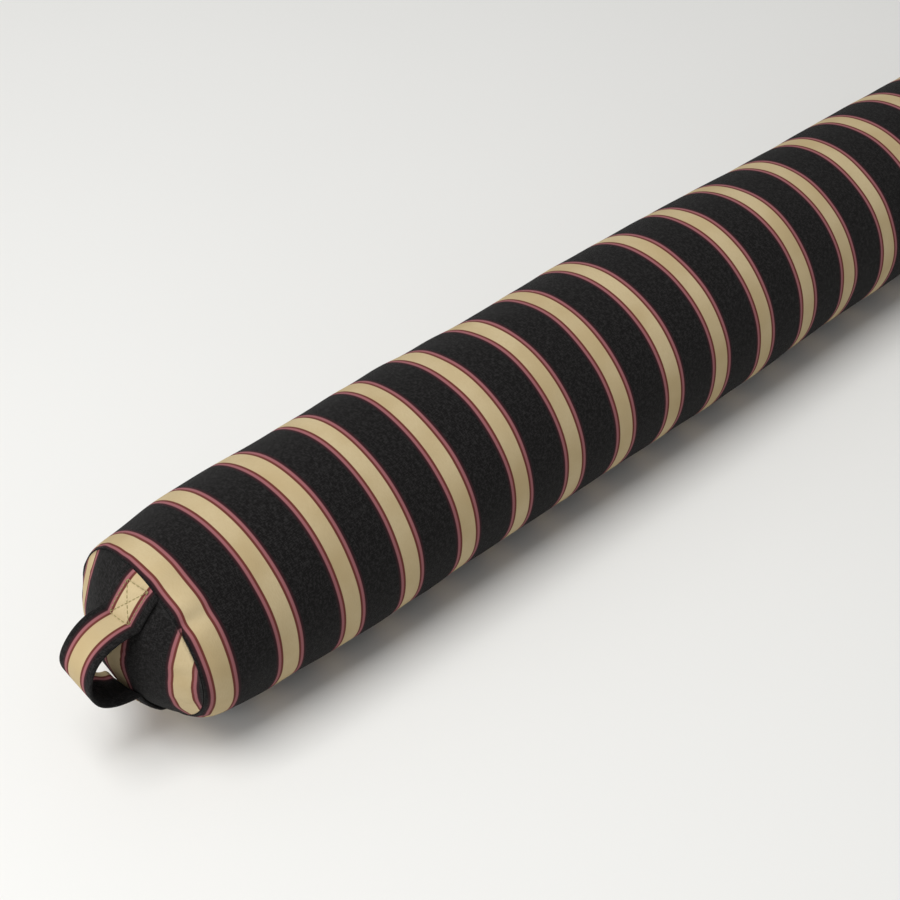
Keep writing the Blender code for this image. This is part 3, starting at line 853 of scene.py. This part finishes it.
UP = Vector((0, -sin(ZIP_ANGLE), cos(ZIP_ANGLE)))
AXIS = Vector((0, 0, AXIS_HEIGHT))
TAPE_RADIUS = COVER_RADIUS - 0.0012
TAPE_WIDTH = 0.012
TAPE_CLOTH = 0.0005
TAPE_START = 0.0002
TAPE_WAVE = 0.00006
COIL_PITCH = 0.00125
COIL_LOOP = 0.00066
COIL_OVAL = (1.08, 0.92)
COIL_WIRE = 0.00027
COIL_POINTS = 9  # to a turn
WIRE_SIDES = 5


def tape(name, node, side):
    """A woven tape that follows the round of the tube, on one side of the slot."""
    low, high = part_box(node)
    xs = np.linspace(low.x, high.x, 105).tolist()
    widths = np.linspace(TAPE_START, TAPE_START + TAPE_WIDTH, 13).tolist()
    wavy = waves(11 + side, 6, 0.12, 0.03, (1, 2))
    grid = []
    for x in xs:
        row = []
        for width in widths:
            turn = side * width / TAPE_RADIUS
            depth = TAPE_WAVE * float(wavy(x, width * 300)) * min(1, width / 0.003)
            out = cos(turn) * OUT + sin(turn) * UP
            row.append(AXIS + Vector((x, 0, 0)) + (TAPE_RADIUS + depth) * out)
        grid.append(row)
    faces = grid_faces(len(xs), len(widths))
    if side < 0:
        faces = faces[:, ::-1]
    cloth = [[(width, x, 0) for width in widths] for x in xs]
    made = new_piece(name, np.array(grid), faces, cloth)
    thick = made.modifiers.new("Thickness", "SOLIDIFY")
    thick.thickness = TAPE_CLOTH
    thick.offset = -1
    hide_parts(node)
    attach(made, "cushion")
    return made


def coil(name, node, shift):
    """A spiral of wire along a tape's edge. shift is in turns, so that two spirals interlock."""
    low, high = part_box(node)
    centre = (low + high) / 2
    height, depth = COIL_OVAL
    count = int((high.x - low.x - 2 * COIL_WIRE) / COIL_PITCH * COIL_POINTS)
    points = []
    for number in range(count):
        turn = 2 * pi * (number / COIL_POINTS)
        x = low.x + COIL_WIRE + (number / COIL_POINTS + shift) * COIL_PITCH
        around = cos(turn) * UP * COIL_LOOP * height + sin(turn) * OUT * COIL_LOOP * depth
        spot = Vector((x, centre.y, centre.z)) + around
        forward = (sin(turn) * -UP + cos(turn) * OUT) * COIL_LOOP * 2 * pi
        forward = (forward + Vector((COIL_PITCH, 0, 0))).normalized()
        beside = forward.cross(around).normalized()
        out = beside.cross(forward)
        for side in range(WIRE_SIDES):
            angle = 2 * pi * side / WIRE_SIDES
            points.append(spot + COIL_WIRE * (cos(angle) * beside + sin(angle) * out))
    faces = []
    for first in range(0, (count - 1) * WIRE_SIDES, WIRE_SIDES):
        for side in range(WIRE_SIDES):
            near, far = first + side, first + (side + 1) % WIRE_SIDES
            faces.append((near, near + WIRE_SIDES, far + WIRE_SIDES, far))
    last = (count - 1) * WIRE_SIDES
    faces.append(list(range(WIRE_SIDES)))
    faces.append([last + side for side in reversed(range(WIRE_SIDES))])
    made = new_piece(name, np.array(points), faces)
    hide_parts(node)
    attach(made, "cushion")
    return made


zip_cloth = Finish("zip_cloth", Sheen_Weight=0.1, Specular_IOR_Level=0.3)
across, along = zip_cloth.cloth_place()
rib = ((across * (2 * pi / 0.0009)).math("SINE")) * 0.5 + 0.5
pick = ((along * (2 * pi / 0.0008) + rib * 3.0).math("SINE")) * 0.5 + 0.5
fuzz = zip_cloth.noise(zip_cloth.point(across * 900, along * 900), 1.0, 2.0)
zip_cloth.colour(zip_cloth.mix(rib * 0.5 + fuzz * 0.5, shade(20, 20, 21), shade(48, 47, 47)))
zip_cloth.roughness(0.75 + fuzz * 0.2)
zip_cloth.bump(rib * 0.6 + pick * 0.4, 0.00015, 0.6)
zip_cloth.on(tape("upper_tape", "zip_upper_tape", 1), tape("lower_tape", "zip_lower_tape", -1))

zip_nylon = Finish("zip_nylon", Specular_IOR_Level=0.5)
position = zip_nylon.node("ShaderNodeTexCoord", {}, {}, "Object")
scuff = zip_nylon.noise(position, 900.0, 3.0)
zip_nylon.colour(zip_nylon.mix(scuff.step(0.5, 0.75), shade(24, 24, 25), shade(46, 45, 45)))
zip_nylon.roughness(0.30 + scuff * 0.25)
zip_nylon.bump(scuff, 0.00005, 0.4)
zip_nylon.on(coil("upper_coil", "zip_upper_coil", 0.0), coil("lower_coil", "zip_lower_coil", 0.5))

zip_metal = Finish("zip_metal", Metallic=1.0)
position = zip_metal.node("ShaderNodeTexCoord", {}, {}, "Object")
wear = zip_metal.noise(position, 1400.0, 5.0)
zip_metal.colour(zip_metal.mix(wear.step(0.35, 0.75), shade(142, 138, 131), shade(160, 156, 149)))
zip_metal.roughness(0.26 + wear * 0.16)
zip_metal.bump(wear, 0.00004, 0.5)
zip_metal.on(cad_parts["zip_top_stop"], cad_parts["zip_bottom_stop"])
for node, width in (("zip_slider", 0.0003), ("zip_pull", 0.00022)):
    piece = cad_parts[node]
    zip_metal.on(piece)
    rounded = piece.modifiers.new("Rounded", "BEVEL")
    rounded.width = width
    rounded.segments = 3
    rounded.limit_method = "ANGLE"

# The topstitching runs round the slot, on the outside of the cover.
TOPSTITCH_RADIUS = 0.0604
TOPSTITCH_REACH = SLOT_HALF_WIDTH + 0.004
TOPSTITCH_END = SLOT_HALF_LENGTH + 0.004


def topstitch_line(places):
    """Places (x, arc from the zip's middle) laid on the cover."""
    line = []
    for x, arc in places:
        turn = arc / COVER_RADIUS
        out = cos(turn) * OUT + sin(turn) * UP
        line.append((AXIS + Vector((x, 0, 0)) + TOPSTITCH_RADIUS * out, out))
    return line


xs = np.linspace(-TOPSTITCH_END, TOPSTITCH_END, 129).tolist()
arcs = np.linspace(-TOPSTITCH_REACH, TOPSTITCH_REACH, 9).tolist()
rows = [
    topstitch_line([(x, TOPSTITCH_REACH) for x in xs]),
    topstitch_line([(TOPSTITCH_END, arc) for arc in arcs[::-1]]),
    topstitch_line([(x, -TOPSTITCH_REACH) for x in xs[::-1]]),
    topstitch_line([(-TOPSTITCH_END, arc) for arc in arcs]),
]
dark_thread.on(sew("topstitches", rows, "zip_topstitch", "cushion", "dark_thread", **seam_sizes))


# ---------------------------------------------------------------------------------------------
# The inner pad: a calico bag, sewn from a tube and two rounds, that keeps the stuffing together
# when the cover is off for washing. Inside it is carded fibre. Both are hidden by the cover.

liner_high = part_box("liner_tube")[1]
liner_tip = -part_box("liner_near_end")[0].x
fill_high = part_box("filling")[1]
CAP_RINGS = (0.94, 0.8, 0.62, 0.42, 0.22)  # shares of the bag's radius
BAG_TUCK = 0.0015
BAG_TUCK_REACH = 0.004


def closed_bag(name, end_x, tip_x, thickness, seed, rough, body_nodes):
    """A closed stuffed bag along the tube's axis, this far inside the cover and crumpled by rough."""
    wrinkles = waves(seed, 20, 0.05, 0.015, (2, 16))
    lumps = waves(seed + 1, 10, 0.2, 0.06, (1, 5))
    xs = np.linspace(-end_x, end_x, 121)
    turns = np.arange(64) / 64 * 2 * pi
    rings = []
    for x in xs:
        base = float(cover_radius(np.array(x))) - thickness
        drop = BAG_TUCK * np.exp(-(end_x - abs(x)) / BAG_TUCK_REACH)
        size = base - drop - rough * (1 + 0.5 * wrinkles(x, turns) + 0.5 * lumps(x, turns))
        y, z = size * np.cos(turns), AXIS_HEIGHT + size * np.sin(turns)
        rings.append(np.stack([0 * turns + x, y, z], -1))
    middle = np.array([0, 0, AXIS_HEIGHT])
    near_caps, far_caps = [], []
    for share in CAP_RINGS:
        bulge = (tip_x - end_x) * (1 - share**2)
        for made, ring, side in ((near_caps, rings[0], -1), (far_caps, rings[-1], 1)):
            cap = middle + (ring - middle) * share
            cap[:, 0] = side * (end_x + bulge) + 0.0004 * wrinkles(share * 0.2, turns) * share
            made.append(cap)
    stack = drawn_in(np.array(near_caps[::-1] + rings + far_caps))
    rows, columns = stack.shape[:2]
    numbers = np.arange(rows * columns).reshape(rows, columns)
    beside = np.roll(numbers, -1, axis=1)
    faces = np.stack([numbers[:-1], beside[:-1], beside[1:], numbers[1:]], -1).reshape(-1, 4).tolist()
    faces += [numbers[0, ::-1].tolist(), numbers[-1].tolist()]
    bag = new_piece(name, stack, faces)
    rest_on_floor(bag)
    for vertex in bag.data.vertices:
        vertex.co.z = max(vertex.co.z, thickness)
    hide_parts(*body_nodes)
    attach(bag, "cushion")
    return bag


liner = closed_bag(
    "calico_bag",
    end_x=liner_high.x,
    tip_x=liner_tip,
    thickness=0.0036,
    seed=21,
    rough=0.0006,
    body_nodes=("liner_tube", "liner_near_end", "liner_far_end"),
)
stuffing = closed_bag(
    "fibre_filling",
    end_x=liner_high.x - 0.002,
    tip_x=fill_high.x - 0.001,
    thickness=0.0056,
    seed=31,
    rough=0.0009,
    body_nodes=("filling",),
)

calico = Finish("calico", Sheen_Weight=0.1, Specular_IOR_Level=0.3)
position = calico.node("ShaderNodeTexCoord", {}, {}, "Object")
slub = calico.noise(position, 500.0, 4.0)
seedy = calico.noise(position, 1500.0, 1.0)
calico.colour(calico.mix(slub.step(0.4, 0.7), shade(226, 217, 196), shade(206, 194, 168)))
calico.roughness(0.85 + seedy * 0.1)
calico.bump(slub * 0.6 + seedy * 0.4, 0.0002, 0.5)
calico.on(liner)

fibre = Finish("fibre", Sheen_Weight=0.3, Specular_IOR_Level=0.2)
position = fibre.node("ShaderNodeTexCoord", {}, {}, "Object")
strands = fibre.noise(position, 260.0, 6.0)
fibre.colour(fibre.mix(strands.step(0.35, 0.7), shade(232, 232, 228), shade(246, 246, 243)))
fibre.roughness(0.9 + strands * 0.08)
fibre.bump(strands, 0.0015, 0.6)
fibre.on(stuffing)


# ---------------------------------------------------------------------------------------------
# The studio: a pale, seamless floor of paper, a large soft lamp overhead, a smaller one low
# beyond the loop's end, and white walls all round that fill the shadows. The camera looks down
# on the loop's end.

floor = new_piece("floor", [(-14, -14, 0), (14, -14, 0), (14, 14, 0), (-14, 14, 0)], [(0, 1, 2, 3)])
paper = Finish("floor_paper", Specular_IOR_Level=0.3)
position = paper.node("ShaderNodeTexCoord", {}, {}, "Object")
grain = paper.noise(position, 3.0, 2.0)
paper.colour(paper.mix(grain, shade(231, 231, 229), shade(234, 234, 232)))
paper.roughness(0.55 + grain * 0.1)
paper.on(floor)

walls = bpy.data.worlds.new("white_walls")
bpy.context.scene.world = walls
walls.use_nodes = True
background = walls.node_tree.nodes["Background"]
background.inputs["Color"].default_value = (1.0, 1.0, 0.995, 1)
background.inputs["Strength"].default_value = 0.33


def lamp(name, place, target, size, power):
    light = bpy.data.lights.new(name, "AREA")
    light.shape = "SQUARE"
    light.size = size
    light.energy = power
    light.color = (1.0, 0.995, 0.985)
    holder = bpy.data.objects.new(name, light)
    holder.location = place
    holder.rotation_euler = (Vector(target) - Vector(place)).to_track_quat("-Z", "Y").to_euler()
    bpy.context.scene.collection.objects.link(holder)


lamp("overhead_lamp", (-1.25, 0.15, 2.5), target=(-0.4, 0.0, 0.0), size=1.65, power=58.0)
lamp("side_lamp", (-2.4, 0.1, 0.9), target=(-0.45, 0.0, 0.06), size=1.3, power=15.0)

camera_data = bpy.data.cameras.new("camera")
camera_data.lens = 83.12
camera_data.sensor_width = 36.0
camera = bpy.data.objects.new("camera", camera_data)
camera.location = (-0.8502, -0.6666, 0.8479)
camera.rotation_euler = (radians(90 - 40.90), 0, radians(-43.17))
bpy.context.scene.collection.objects.link(camera)
bpy.context.scene.camera = camera
bpy.context.scene.view_settings.view_transform = "Standard"
